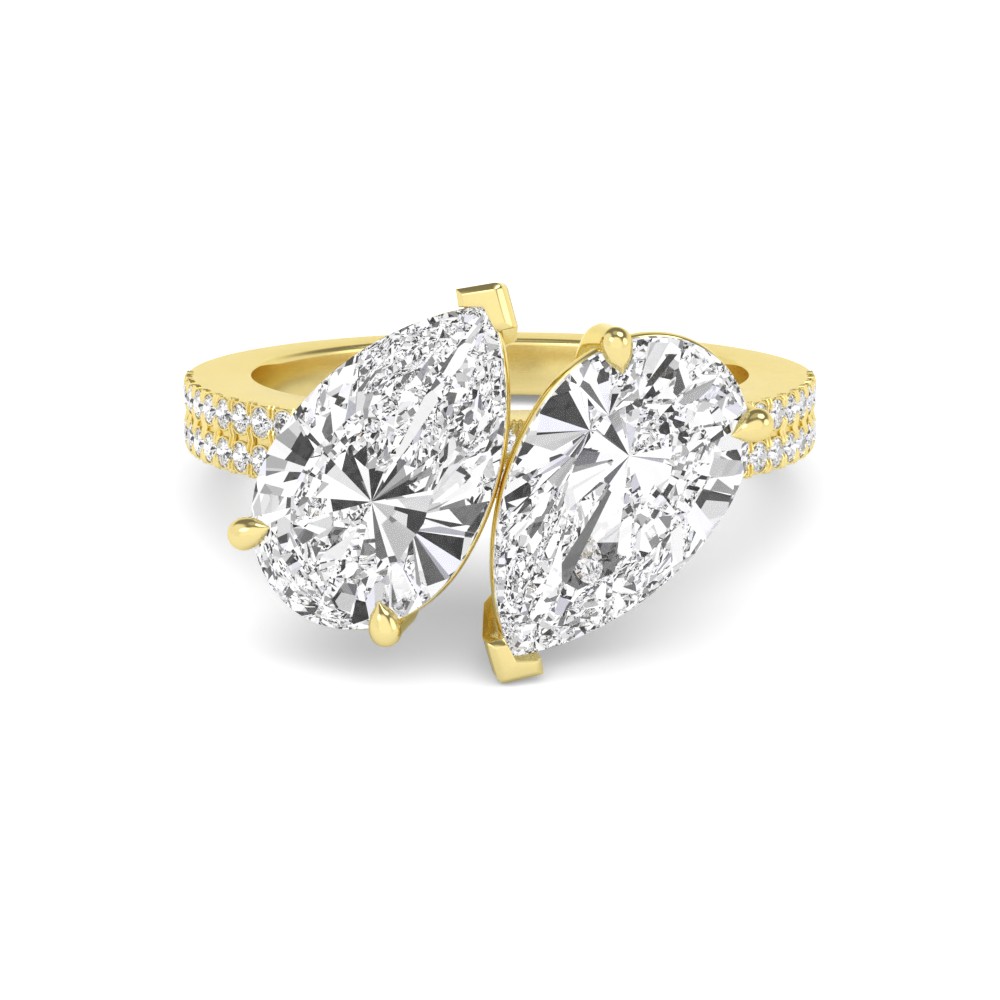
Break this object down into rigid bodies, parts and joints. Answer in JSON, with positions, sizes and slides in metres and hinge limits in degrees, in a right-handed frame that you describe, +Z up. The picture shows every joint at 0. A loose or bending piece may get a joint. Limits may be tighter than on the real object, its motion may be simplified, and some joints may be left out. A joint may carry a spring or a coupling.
{
  "type": "toi et moi ring",
  "caption": "Ring lying on its side as it rests: a gold band with pave-set rows, its head holding pear-cut stones set point to round in claw and V-prong settings.",
  "frame": {"origin": "middle of the bounding box's underside, on the surface that the ring lies on", "axes": "+Z up from the surface; -Y towards the head with the pear stones, +Y towards the back of the band; X across the ring, the stone whose point stands higher at -X. The finger's axis leans 11.6 degrees from +Z towards +Y"},
  "size_m": [0.0214, 0.0272, 0.0123],
  "materials": {
    "gold": "polished yellow gold",
    "diamond": "clear cut stone"
  },
  "bodies": {
    "root": {"ring_mount": "gold", "pear_stone_left": "diamond", "pear_stone_right": "diamond", "pave_stones": "diamond"}
  },
  "joints": []
}
